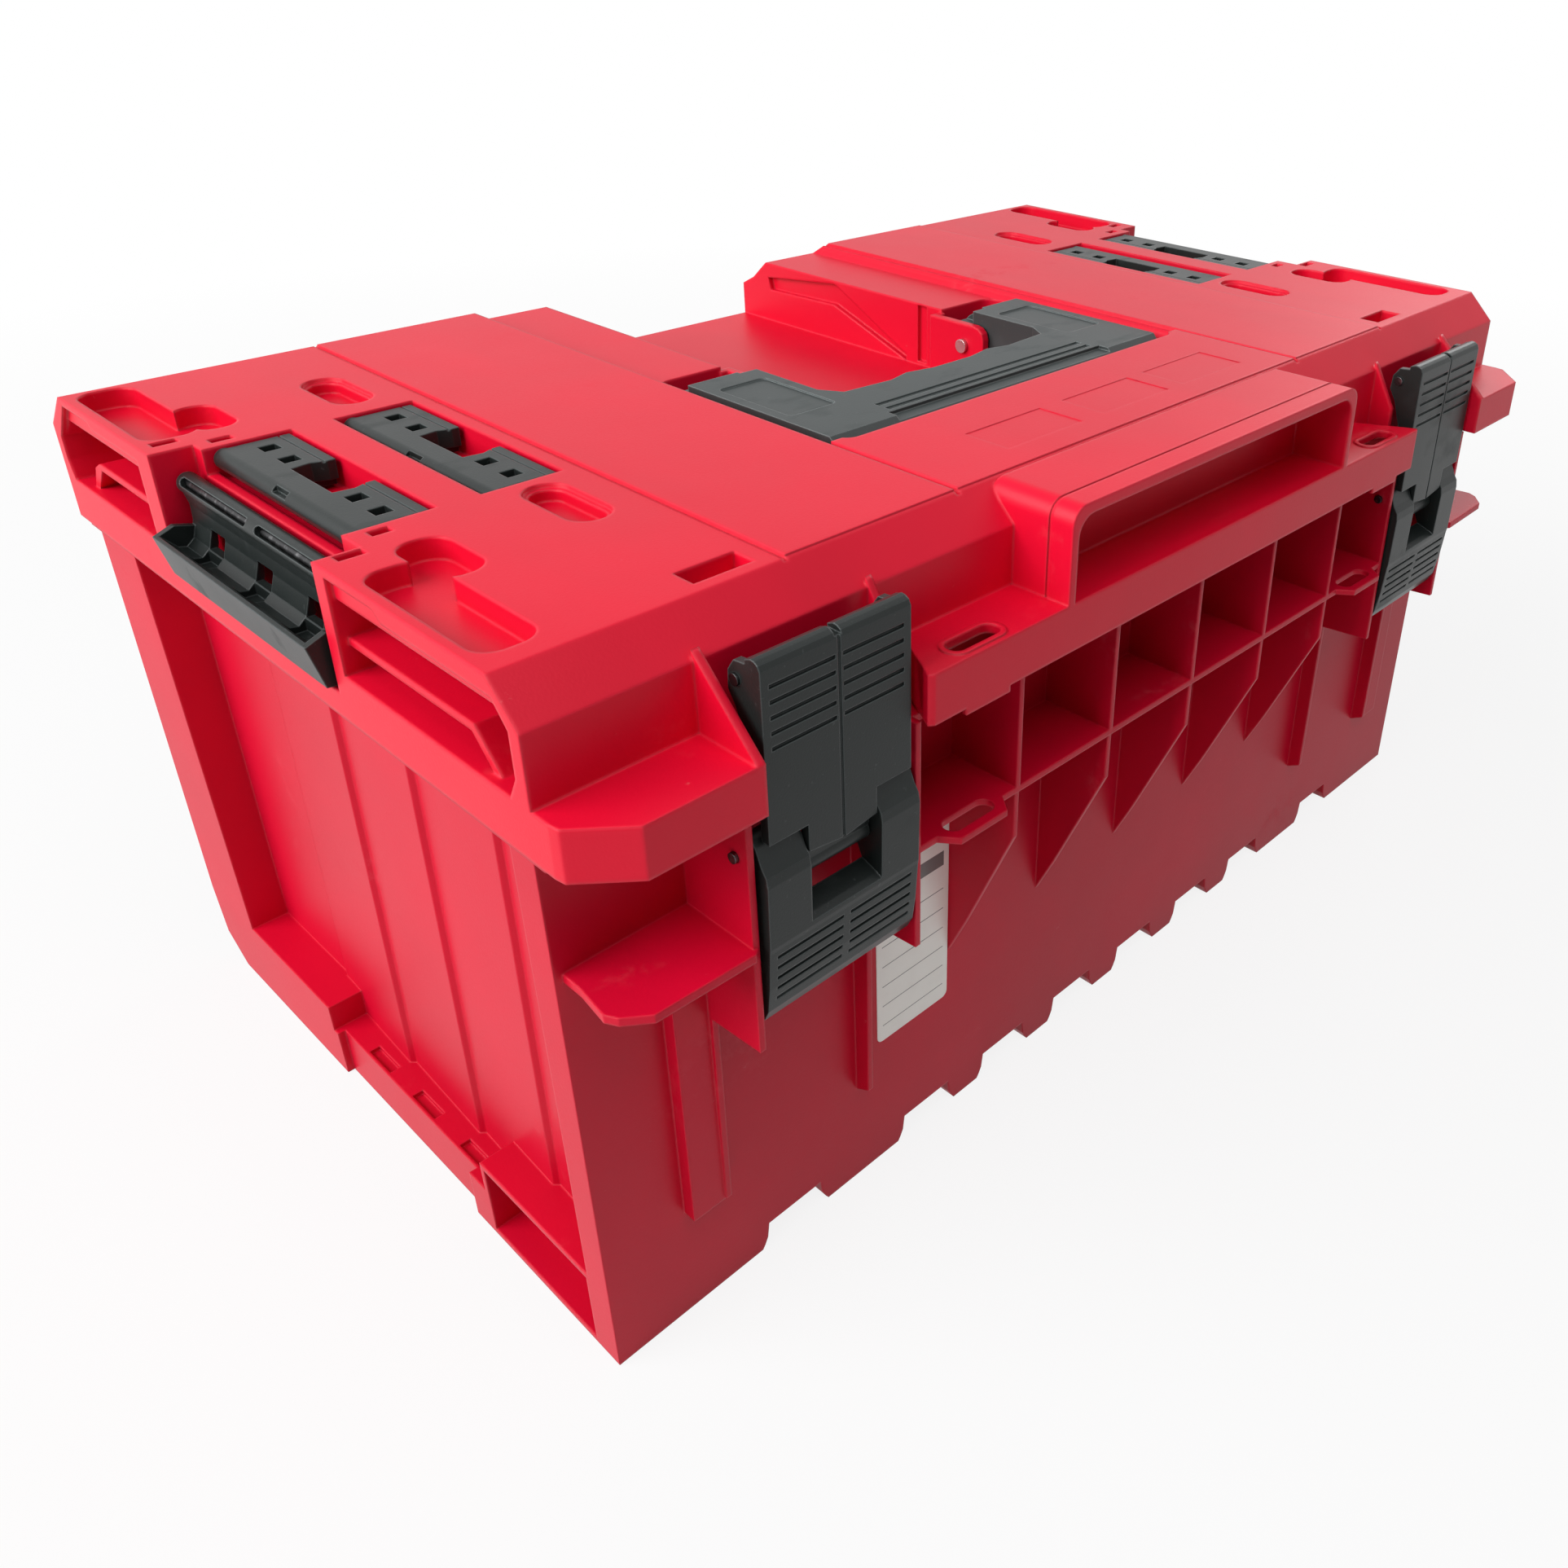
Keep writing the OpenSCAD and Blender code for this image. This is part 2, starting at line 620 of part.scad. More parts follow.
module handle_ear() {
    // Red ear on the inner side of each arm, joined to the wall behind it
    difference() {
        union() {
            yz([[-10, well_low_z - bite], [-10, case_h - 13], [-9, case_h - 9.8], [-6.6, case_h - 7.7],
                [-3.5, case_h - 7], [arm_bay_back + bite, case_h - 7], [arm_bay_back + bite, well_z - bite]],
                ear_x, ear_x + ear_t);
            block(ear_x, well_half + bite, arm_bay_back - 1.5, arm_bay_back + 2, well_z - bite, case_h - 7);
        }
        rod_x(ear_x - bite, ear_x + ear_t + bite, handle_pin_y, handle_pin_z, handle_pin_d / 2 + pin_play);
    }
}

module lid_base_shape() {
    difference() {
        union() {
            difference() {
                union() {
                    along_x(-half_l, half_l) lid_outline(0, split);
                    block(-outer_step_x, outer_step_x, -flat_y + step_h, flat_y - step_h, case_h - bite, case_h + step_h);
                }
                along_x(-hollow_x, hollow_x) lid_outline(wall, split - bite);
            }
            lid_top_blocks();
            rear_housing();
            pull_hood();
            front_flange();
            both() {
                corner_block();
                latch_fin();
            }
            // Bars that carry the seal along the front and the back
            block(-clip_bay_x + 10, clip_bay_x - 10, -lid_front + bite, -seal_front + seal_w + 2.5, split, split + 6);
            block(-clip_bay_x + 10, clip_bay_x - 10, seal_back - seal_w - 2, lid_back - bite, split, split + 6);
            both() {
                knuckle(hinge_x - 19, hinge_x + 19);
                yz([[lid_back - bite, hinge_z + 14], [hinge_y + 2, hinge_z + 5.2], [hinge_y, hinge_z],
                    [lid_back - bite, hinge_z + 0.2]], hinge_x - 19, hinge_x + 19);
            }
        }
        // Mouth of the pull
        along_y(-front_y - bite, -lid_front - 1) hood_outline(pull_w / 2 - wall - 0.4, ledge_z, case_h - 3.6, 8);
        handle_well();
        both() {
            along_x(clip_bay_x - 20.5, half_l + bite) end_bay_outlines();
            along_x(half_l - 2.2, half_l + bite) end_band_outlines();
            keyhole_recess();
            for (y = oval_ys) oval_recess(y);
            block(half_l - 94.5, half_l - 71.5, -flat_y + 5, -flat_y + 15, case_h - 7.5, case_h + bite);
            // Bay of the side clip
            block(clip_bay_x, half_l + bite, clip_y - clip_bay_l / 2, clip_y + clip_bay_l / 2, clip_bay_z, case_h + bite);
            rod_y(clip_y - clip_bay_l / 2 - 6, clip_y + clip_bay_l / 2 + 6, clip_pin_x, clip_pin_z,
                clip_rod_d / 2 + pin_play);
            // Bays of the two flaps with their pin sockets
            for (i = [0, 1]) {
                x1 = half_l - flap_in + 1.5 - i * flap_pitch;
                y0 = flap_y - flap_bay_l / 2;
                y1 = flap_y + flap_bay_l / 2;
                block(x1 - flap_w - 3.3, x1 + (i == 0 ? -2.5 : 1), y0, y1, flap_bay_z, case_h + 2);
                block(x1 - 12, i == 0 ? clip_bay_x + bite : x1 + 1, y0, y1, flap_pin_z - 5, case_h + 2);
                rod_y(y0 - flap_pin_l, y1 + flap_pin_l, half_l - flap_pin_in - i * flap_pitch, flap_pin_z,
                    flap_pin_d / 2 + pin_play);
            }
            // Small square holes beside the bays
            for (hole = [[half_l - 10.5, clip_y - clip_bay_l / 2 - 3.4, 9],
                [half_l - 25.5, flap_y - flap_bay_l / 2 - 5.5, 7],
                [half_l - 9.1, clip_y + clip_bay_l / 2 + 9.3, 9],
                [half_l - 25.1, flap_y + flap_bay_l / 2 + 6.9, 8]])
                translate([hole[0] - hole[2] / 2, hole[1] - 2.25, case_h - 6]) cube([hole[2], 4.5, 8]);
            // Joint lines of the top panels
            block(inner_step_x - 1.1, inner_step_x + 1.1, -flat_y - 4, flat_y + 8, case_h - 1, case_h + 2);
            block(outer_step_x - 0.7, outer_step_x + 0.7, -flat_y - 2, flat_y + 5, case_h - 0.8, case_h + 2);
            // Hollows below the end bays, either side of the seal
            block(clip_bay_x + 1, half_l - wall, -lid_front + wall, lid_back - wall, split - bite, split + 6);
            block(hollow_x, clip_bay_x - 11, -lid_front + wall + 12, lid_back - wall - 12, split - bite, split + 14);
            rod_x(hinge_x - 20, hinge_x + 20, hinge_y, hinge_z, hinge_rod_d / 2 + pin_play);
            // Room for the tub's knuckles
            for (x = [hinge_x - 41, hinge_x + 20]) rod_x(x, x + 21, hinge_y, hinge_z, knuckle_r + 0.4);
            rod_x(ear_x + arm_w, arm_bay_half + wall - 0.5, handle_pin_y, handle_pin_z, handle_pin_d / 2 + pin_play);
        }
        // Groove for the seal
        ring(seal_x + 0.2, seal_front + 0.2, seal_back + 0.2, seal_w + 0.4, split - bite, split + seal_h);
        // Three shallow panels on the front edge of the top
        for (x = [-47, 11, 66]) block(x - 22, x + 22, -flat_y + 14, -flat_y + 36,
            case_h + step_h - 0.25, case_h + 2);
    }
}

module lid_shell() {
    place() color(red) {
        lid_base_shape();
        both() {
            handle_ear();
            end_bay_shelves();
        }
    }
}

module lid_seal() {
    place() color(black) ring(seal_x, seal_front, seal_back, seal_w, rim_z + 0.3, split + seal_h - 0.1);
}

module hinge_rods() {
    place() color(steel) both() rod_x(hinge_x - 42, hinge_x + 42, hinge_y, hinge_z, hinge_rod_d / 2);
}

// Handle
module arm_profile() {
    // Side view of an arm: round at the pin, deep beside the ear, lighter at the grip
    polygon([[handle_pin_y, -1.2], [8 - handle_reach + handle_pin_y, -1.2], [handle_pin_y - handle_reach, -9],
        [handle_pin_y - handle_reach, -19], [handle_pin_y - handle_reach + 6, -24], [handle_pin_y - 30, -27],
        [handle_pin_y - 8, -handle_pin_drop - 14], [handle_pin_y, -handle_pin_drop - 14]]);
    translate([handle_pin_y, -handle_pin_drop]) circle(14);
}

module carry_handle() {
    inner = handle_half - arm_w;
    grip_back = handle_pin_y - handle_reach + grip_w + 8;
    place() color(grey) difference() {
        intersection() {
            translate([0, 0, case_h - 40]) linear_extrude(60) difference() {
                soft_square(-handle_half, handle_half, handle_pin_y - handle_reach, handle_pin_y + 18, 8);
                polygon([[-inner, 60], [-inner, grip_back + 12], [-inner + 6, grip_back + 2], [-38, grip_back],
                    [-26, grip_back + 3], [-12, grip_back], [12, grip_back], [26, grip_back + 3], [38, grip_back],
                    [inner - 6, grip_back + 2], [inner, grip_back + 12], [inner, 60]]);
            }
            translate([0, 0, case_h]) along_x(-handle_half, handle_half) arm_profile();
        }
        // Hand space under the grip bar
        yz([[handle_pin_y - handle_reach + 7, case_h - 60], [handle_pin_y - handle_reach + 7, case_h - 17],
            [grip_back - 4, case_h - 15], [grip_back + 14, case_h - 20], [grip_back + 14, case_h - 60]],
            -inner + 4, inner - 4);
        rod_x(-handle_half - bite, handle_half + bite, handle_pin_y, handle_pin_z, handle_pin_d / 2 + pin_play);
        // Stepped edge in front of the grip and shallow panel in each arm
        block(-inner + 1, inner - 1, handle_pin_y - handle_reach - bite, handle_pin_y - handle_reach + 13,
            case_h - 2.9, case_h);
        both() translate([0, 0, case_h - 2]) linear_extrude(4)
            soft_square(inner + 5, handle_half - 5, grip_back - 6, handle_pin_y - 13, 3);
        // The arm's cap is narrower than the pocket behind the ear
        both() block(inner - bite, inner + 9, handle_pin_y - 2, handle_pin_y + 30, case_h - 9, case_h);
        // Ridge left standing along the middle of the bar
        for (y = [15, 21]) translate([0, handle_pin_y - handle_reach + y, 0])
            block(-inner + 4, inner - 4, 0, 3, case_h - 2.2, case_h);
    }
}

module handle_pins() {
    place() color(steel) both() {
        rod_x(ear_x - 0.3, arm_bay_half + wall - 1, handle_pin_y, handle_pin_z, handle_pin_d / 2);
        rod_x(ear_x - 2, ear_x - 0.2, handle_pin_y, handle_pin_z, handle_pin_d / 2 + 0.4);
    }
}

// Latches, drawn on the right and mirrored
module grip_lines(x0, x1, z0, pitch, face, lean) {
    for (i = [0:4], s = [0, 1]) {
        x = s == 0 ? x0 : (x0 + x1) / 2 + 1.5;
        y = face + i * lean;
        block(x, x + (x1 - x0) / 2 - 1.5, y - 2, y + 1.1, z0 - i * pitch - 1.5, z0 - i * pitch);
    }
}

module latch_lever() {
    x0 = latch_x - lever_w / 2;
    x1 = latch_x + lever_w / 2;
    gap0 = latch_x - tongue_w / 2 - 0.8;
    gap1 = latch_x + tongue_w / 2 + 0.8;
    face = claw_face - 1.5;
    top = lever_pin_z;
    low = case_h - 140.5;
    place() color(grey) difference() {
        union() {
            // Shoulders with sloping tops, and the window's frame
            yz([[lever_pin_y - 4.6, top + 2], [face + 2.6, top - 3.5], [face + 0.6, top - 6.5], [face, top - 10],
                [face + 0.5, top - 34], [face + 1.5, top - 40], [face + 5, top - 40], [lever_pin_y + 3.6, top - 22],
                [lever_pin_y + 4.6, top - claw_arm], [lever_pin_y + lever_barrel_r, top]], x0, x1);
            rod_x(x0, x1, lever_pin_y, top, lever_barrel_r);
            // Finger plate, bent inwards at its foot
            yz([[face + 0.5, top - 32], [face + 2, low + 15], [face + 3.5, low + 5], [face + 6, low],
                [face + 8.5, low], [face + 7, low + 8], [face + 6, low + 16], [face + 4.5, top - 32]], x0, x1);
            // Edge ribs behind the plate
            for (x = [x0, x1 - 2.5])
                yz([[face + 3, top - 32], [face + 4, low + 14], [face + 9, low + 18], [lever_pin_y + 2, top - 30]],
                    x, x + 2.5);
        }
        // Window and the slot for the tongue, with a sloped sill
        yz([[face - bite, top + 8], [face - bite, top - 33], [face + 3, top - 31], [lever_pin_y + 8, top - 26],
            [lever_pin_y + 8, top + 8]], gap0, gap1);
        rod_x(x0 - bite, x1 + bite, lever_pin_y, top, lever_pin_d / 2 + pin_play);
        rod_x(x0 + 3, x1 - 3, lever_pin_y, claw_pin_z, claw_pin_d / 2 + pin_play);
        grip_lines(x0 + 3, x1 - 3, top - 38, 4.4, face + 1, 0.4);
    }
}

module latch_claw() {
    x0 = latch_x - latch_w / 2;
    x1 = latch_x + latch_w / 2;
    t0 = latch_x - tongue_w / 2;
    t1 = latch_x + tongue_w / 2;
    place() color(grey) difference() {
        union() {
            // Plate with a rounded top edge
            yz([[claw_face, claw_low], [claw_face, claw_top - 3], [claw_face + 0.9, claw_top - 1.1],
                [claw_face + 2.4, claw_top - 0.2], [claw_face + 4, claw_top], [claw_back + 3, claw_top - 1],
                [claw_back + 3, claw_top - 5], [claw_back, claw_top - 8], [claw_back, claw_low]], x0, x1);
            // Tongue between the lever's shoulders, with the pin boss behind it
            xz([[t0, claw_low + bite], [t0, claw_low - 10], [latch_x, claw_low - 12], [t1, claw_low - 10],
                [t1, claw_low + bite]], claw_face, claw_back);
            yz([[claw_back - bite, claw_low - 5], [claw_back - bite, claw_low - 10], [lever_pin_y - 2, claw_pin_z - 3.6],
                [lever_pin_y + 1, claw_pin_z + 3.6]], t0, t1);
            rod_x(t0, t1, lever_pin_y, claw_pin_z, claw_pin_d / 2 + 2.2);
            // Hooked side flanges, with the hook rod between them
            for (x = [x0, x1 - 3])
                yz([[claw_back - bite, claw_top - 2], [claw_back + 8, claw_top - 3], [claw_back + 10.8, claw_top - 7],
                    [claw_back + 11.3, claw_top - 13.5], [claw_back + 8, claw_top - 19], [claw_back + 4, claw_top - 31],
                    [claw_back - bite, claw_top - 44]], x, x + 3);
        }
        rod_x(x0 - bite, x1 + bite, lever_pin_y, claw_pin_z, claw_pin_d / 2 + pin_play);
        rod_x(x0 - bite, x1 + bite, hook_rod_y, hook_rod_z, hook_rod_r + pin_play);
        grip_lines(x0 + 3, x1 - 3, claw_top - 8, 5.2, claw_face, 0);
        // Joint line down the middle, with a notch at its top
        block(latch_x - 0.6, latch_x + 0.6, claw_face - bite, claw_face + 0.7, claw_low - 20, claw_top);
        block(latch_x - 1.4, latch_x + 1.4, claw_face - bite, claw_back + 4, claw_top - 2.2, claw_top + bite);
    }
}

module lever_pins() {
    place() color(steel) both() {
        rod_x(cheek_in - 2.5, cheek_out + 2.5, lever_pin_y, lever_pin_z, lever_pin_d / 2);
    }
}

module claw_pin() {
    place() color(steel) rod_x(latch_x - lever_w / 2 + 4, latch_x + lever_w / 2 - 4, lever_pin_y, claw_pin_z,
        claw_pin_d / 2);
}

module hook_rod() {
    place() color(steel) rod_x(latch_x - latch_w / 2 - 1, latch_x + latch_w / 2 + 1, hook_rod_y, hook_rod_z,
        hook_rod_r);
}

// Side clip, drawn on the right about its pin
module side_clip() {
    y0 = clip_y - clip_l / 2;
    y1 = clip_y + clip_l / 2;
    place() color(grey) translate([clip_pin_x, 0, clip_pin_z]) difference() {
        union() {
            rod_y(y0, y1, 0, 0, clip_barrel_r);
            // Plate that swells into a hollow-faced outward lip
            xz([[-0.8, -3], [-0.8, -12], [0, -19], [2.5, -25], [7, -31.5], [9, -32.6], [12.3, -32.3],
                [16.3, -16.5], [14.8, -16], [9.5, -22], [6.5, -22.6], [3.5, -20], [1.6, -14], [1.4, -8],
                [2.6, -3]], y0, y1);
            // End caps of the lip
            for (y = [y0, y1 - 2.5]) xz([[0, -16], [0, -19], [2.5, -25], [7, -31.5], [9, -32.6], [12.3, -32.3],
                [16.3, -16.5], [9.1, -13.6]], y, y + 2.5);
        }
        rod_y(y0 - bite, y1 + bite, 0, 0, clip_rod_d / 2 + pin_play);
        // Two long windows that bare the rod
        for (s = [-1, 1]) translate([0, clip_y + s * clip_l * 0.2533, 0]) rotate([0, 55, 0])
            linear_extrude(10) rotate([0, 0, 90]) racetrack_x(clip_l * 0.45, 3.2);
        // Three openings in the plate and the notches of the lip
        for (i = [-1:1]) {
            y = clip_y + i * 38;
            block(-3, 3.6, y - 6, y + 6, -20.5, -13);
            block(4, 12.5, y - 6, y + 6, -25, -15);
        }
    }
}

module clip_rods() {
    place() color(steel) both() rod_y(clip_y - clip_bay_l / 2 - 5.5, clip_y + clip_bay_l / 2 + 5.5,
        clip_pin_x, clip_pin_z, clip_rod_d / 2);
}

// Stacking flap: 0 is the outer one
module flap(i) {
    pin_x = half_l - flap_pin_in - i * flap_pitch;
    y0 = flap_y - flap_l / 2;
    y1 = flap_y + flap_l / 2;
    far = pin_x + flap_barrel_r - flap_w;
    top = case_h - 0.8;
    notch_x = pin_x - 8;
    place() color(grey) difference() {
        union() {
            rod_y(y0 - 1.2, y1 + 1.2, pin_x, flap_pin_z, flap_barrel_r);
            rod_y(y0 - flap_gap - flap_pin_l + 0.3, y1 + flap_gap + flap_pin_l - 0.3, pin_x, flap_pin_z, flap_pin_d / 2);
            difference() {
                block(far, pin_x, y0, y1, top - 7.4, top);
                translate([0, 0, case_h - 20]) linear_extrude(30) polygon([[far - bite, flap_y - 14.5],
                    [far + 3, flap_y - 14.5], [far + 8, flap_y - 16.6], [notch_x, flap_y - 15.5],
                    [notch_x, flap_y + 15.5], [far + 8, flap_y + 16.6], [far + 3, flap_y + 14.5],
                    [far - bite, flap_y + 14.5]]);
            }
            for (s = [-1, 1]) translate([0, flap_y + s * (flap_l / 4 + 7.5), 0])
                block(far, far + 12, -16, 16, top - pad_t, top - 6);
        }
        for (y = [-41, -25, 25, 41]) block(pin_x - 15.2, pin_x - 8.8, flap_y + y - 3.2, flap_y + y + 3.3,
            case_h - 20, case_h + bite);
        // Shallow line along the free edge, and a notch in the middle of the barrel
        block(far + 3.6, far + 4.4, y0 - bite, y1 + bite, top - 0.6, top + bite);
        block(pin_x + 1.5, pin_x + flap_barrel_r + bite, flap_y - 5, flap_y + 5, flap_pin_z + 1.5, top + bite);
    }
}

base_tub();
lid_shell();
lid_seal();
hinge_rods();
carry_handle();
handle_pins();
mirror([1, 0, 0]) latch_lever();  // latch_lever_left
latch_lever();  // latch_lever_right
mirror([1, 0, 0]) latch_claw();  // latch_claw_left
latch_claw();  // latch_claw_right
lever_pins();
mirror([1, 0, 0]) claw_pin();  // claw_pin_left
claw_pin();  // claw_pin_right
mirror([1, 0, 0]) hook_rod();  // hook_rod_left
hook_rod();  // hook_rod_right
mirror([1, 0, 0]) side_clip();  // side_clip_left
side_clip();  // side_clip_right
clip_rods();
mirror([1, 0, 0]) flap(0);  // flap_outer_left
mirror([1, 0, 0]) flap(1);  // flap_inner_left
flap(0);  // flap_outer_right
flap(1);  // flap_inner_right
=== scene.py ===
import math

import bmesh
import bpy
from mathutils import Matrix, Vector


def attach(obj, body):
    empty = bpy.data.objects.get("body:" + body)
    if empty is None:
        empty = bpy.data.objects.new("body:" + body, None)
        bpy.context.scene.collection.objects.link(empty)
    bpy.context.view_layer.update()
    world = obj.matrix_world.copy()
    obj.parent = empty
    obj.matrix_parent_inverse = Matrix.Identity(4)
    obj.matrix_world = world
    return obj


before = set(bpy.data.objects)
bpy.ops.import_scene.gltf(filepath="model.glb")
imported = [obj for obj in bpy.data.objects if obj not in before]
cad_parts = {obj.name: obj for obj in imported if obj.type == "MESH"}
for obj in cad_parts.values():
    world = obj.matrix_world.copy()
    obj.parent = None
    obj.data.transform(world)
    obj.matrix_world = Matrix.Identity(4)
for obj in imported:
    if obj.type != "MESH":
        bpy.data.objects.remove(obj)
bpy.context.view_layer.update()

# The tub is one injection moulding in red polypropylene, pulled straight down out of its tool.
# It has a satin skin with a fine spark-eroded grain, a small radius on every edge, and broad
# clouds of a slightly deeper red where the melt flowed.


class Amount:
    """An amount that changes over a surface, held in a node's socket, with arithmetic."""

    def __init__(self, finish, socket):
        self.finish = finish
        self.socket = socket

    def _math(self, operation, *values, **settings):
        settings = {"operation": operation, **settings}
        return self.finish.node("ShaderNodeMath", settings, dict(enumerate(values)))

    def __add__(self, other):
        return self._math("ADD", self, other)

    def __radd__(self, other):
        return self._math("ADD", other, self)

    def __sub__(self, other):
        return self._math("SUBTRACT", self, other)

    def __rsub__(self, other):
        return self._math("SUBTRACT", other, self)

    def __mul__(self, other):
        return self._math("MULTIPLY", self, other)

    def __rmul__(self, other):
        return self._math("MULTIPLY", other, self)

    def __abs__(self):
        return self._math("ABSOLUTE", self)

    def over(self, edge, softness):
        """0 below the edge, turning to 1 over the softness."""
        return self._math("MULTIPLY", self - edge, 1 / softness, use_clamp=True)


class Finish:
    """The nodes of one kind of surface, or of the studio's air."""

    def __init__(self, owner):
        owner.use_nodes = True
        self.owner = owner
        self.tree = owner.node_tree
        self.tree.nodes.clear()

    def node(self, kind, settings=None, inputs=None, output=0):
        """Makes any node: its settings go in first, then its sockets' values or links."""
        made = self.tree.nodes.new(kind)
        for name, value in (settings or {}).items():
            setattr(made, name, value)
        for name, value in (inputs or {}).items():
            if isinstance(value, Amount):
                self.tree.links.new(value.socket, made.inputs[name])
            elif made.inputs[name].type == "RGBA":
                made.inputs[name].default_value = (*value, 1)
            else:
                made.inputs[name].default_value = value
        return Amount(self, made.outputs[output]) if len(made.outputs) else None

    def place(self, stretch=(1, 1, 1)):
        """Where a point is on the object, in metres, stretched."""
        where = self.node("ShaderNodeTexCoord", output="Object")
        return self.node("ShaderNodeVectorMath", {"operation": "MULTIPLY"}, {0: where, 1: stretch})

    def clouds(self, size, detail, stretch=(1, 1, 1), roughness=0.5):
        """Cloudy noise from 0 to 1 whose patches are about that size in metres."""
        sockets = {"Vector": self.place(stretch), "Scale": 1 / size, "Detail": detail}
        sockets["Roughness"] = roughness
        return self.node("ShaderNodeTexNoise", {}, sockets, output="Fac")

    def blend(self, share, first, second):
        """The first colour where the share is 0, the second where it is 1."""
        sockets = {0: share, 6: first, 7: second}
        return self.node("ShaderNodeMix", {"data_type": "RGBA"}, sockets, output=2)

    def rounded(self, radius):
        """The surface normal, rounded over at the moulding's edges."""
        return self.node("ShaderNodeBevel", {"samples": 6}, {"Radius": radius})

    def edges(self, rounded):
        """1 on the rounded edges and 0 on the flats between them."""
        flat = self.node("ShaderNodeNewGeometry", output="True Normal")
        dot = {"operation": "DOT_PRODUCT"}
        along = self.node("ShaderNodeVectorMath", dot, {0: rounded, 1: flat}, output="Value")
        least_turn, full_turn = 0.015, 0.12
        return (1 - along).over(least_turn, full_turn)

    def bump(self, height, depth, normal, strength):
        """The normal with a relief on it of that depth in metres."""
        sockets = {"Height": height, "Distance": depth, "Strength": strength, "Normal": normal}
        return self.node("ShaderNodeBump", {}, sockets)

    def surface(self, **sockets):
        """Closes the material with its shader, whose sockets are named with underscores."""
        inputs = {name.replace("_", " "): value for name, value in sockets.items()}
        shader = self.node("ShaderNodeBsdfPrincipled", {}, inputs)
        self.node("ShaderNodeOutputMaterial", {}, {"Surface": shader})
        return self.owner


scuff_pink = (0.80, 0.30, 0.32)
dust_pink = (0.75, 0.45, 0.44)
wave_depth = 0.0006
grain_depth = 0.00006


def red_moulding(name, colour, deep, highlight_red, edge_radius, grain_size, gloss):
    """Satin red polypropylene: grain, flow clouds, a painted highlight of lighter red on the edges,
    dust and dry pale scuffs.
    """
    flow_red = tuple(min(1.0, c * 1.1) for c in colour)
    finish = Finish(bpy.data.materials.new(name))
    shades = finish.clouds(0.16, 3.0)
    flow = finish.clouds(0.05, 2.0, (1.0, 0.25, 0.6))
    dust = finish.clouds(0.006, 5.0, roughness=0.7)
    scuffed = finish.clouds(0.045, 4.0, (0.6, 1.6, 1.0)).over(0.62, 0.12) * dust.over(0.5, 0.16)
    skin = finish.rounded(edge_radius)
    # Painted highlight: the rounded edges are painted a lighter red, broken up by the dust clouds,
    # and the same mask makes them a little glossier.
    painted_edge_highlight = finish.edges(skin) * (0.35 + 0.65 * dust)
    red = finish.blend(shades.over(0.34, 0.4), deep, colour)
    red = finish.blend(flow.over(0.5, 0.25) * 0.3, red, flow_red)
    red = finish.blend(painted_edge_highlight * 0.55, red, highlight_red)
    red = finish.blend(scuffed * 0.09, red, scuff_pink)
    red = finish.blend(dust.over(0.70, 0.05) * 0.09, red, dust_pink)
    grain = finish.clouds(grain_size, 2.0)
    waves = finish.clouds(0.035, 1.0)
    normal = finish.bump(waves, wave_depth, skin, 0.4)
    normal = finish.bump(grain, grain_depth, normal, 0.6)
    rough = 0.32 + 0.10 * shades + 0.08 * grain + 0.14 * scuffed - 0.06 * painted_edge_highlight
    return finish.surface(Base_Color=red, Roughness=rough, Normal=normal,
                          Specular_IOR_Level=gloss)


def dress(node, material):
    """Gives a CAD node its finish."""
    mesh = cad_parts[node].data
    mesh.materials.clear()
    mesh.materials.append(material)


dress("base_tub", red_moulding(
    "tub_red", colour=(0.56, 0.0012, 0.024), deep=(0.47, 0.001, 0.018),
    highlight_red=(0.80, 0.030, 0.060), edge_radius=0.0012, grain_size=0.0009, gloss=0.19))

# A plain write-on label is stuck to the tub's front wall, beside the left latch. It is white
# film with rounded corners, a dark band along its top and printed rules.
label_left, label_right = -0.1540, -0.1136
label_foot, label_head = 0.0640, 0.1560
label_corner = 0.003
film_thickness = 0.0003
front_wall = -0.15175
band_foot, band_head = label_head - 0.0225, label_head - 0.0155
rule_count, rule_pitch, rule_half = 6, 0.010, 0.00018
first_rule = label_foot + 0.008
print_margin = 0.003
print_edge = 0.0001


def label_outline(steps):
    """The points round the film, with that many steps in each rounded corner."""
    left, right = label_left + label_corner, label_right - label_corner
    foot, head = label_foot + label_corner, label_head - label_corner
    points = []
    for x, z, turn in ((right, head, 0), (left, head, 90), (left, foot, 180), (right, foot, 270)):
        for i in range(steps + 1):
            angle = math.radians(turn + 90 * i / steps)
            across, up = math.cos(angle), math.sin(angle)
            points.append((x + label_corner * across, z + label_corner * up))
    return points


def write_on_film():
    finish = Finish(bpy.data.materials.new("label_film"))
    height = finish.node("ShaderNodeSeparateXYZ", {}, {0: finish.place()}, output="Z")
    across = finish.node("ShaderNodeSeparateXYZ", {}, {0: finish.place()}, output="X")
    inked = height.over(band_foot, print_edge) * (1 - height.over(band_head, print_edge))
    for rule in range(rule_count):
        off_rule = abs(height - (first_rule + rule_pitch * rule))
        inked = inked + (1 - off_rule.over(rule_half, 0.00008))
    margins = across.over(label_left + print_margin, print_edge)
    margins = margins * (1 - across.over(label_right - print_margin, print_edge))
    grime = finish.clouds(0.012, 4.0).over(0.5, 0.4)
    film = finish.blend(grime * 0.4, (0.88, 0.86, 0.81), (0.74, 0.71, 0.66))
    film = finish.blend(inked * margins * 0.85, film, (0.05, 0.05, 0.055))
    ripple = finish.bump(finish.clouds(0.02, 1.0), 0.0003, finish.rounded(0.0001), 0.4)
    return finish.surface(Base_Color=film, Roughness=0.34 + 0.12 * grime, Normal=ripple)


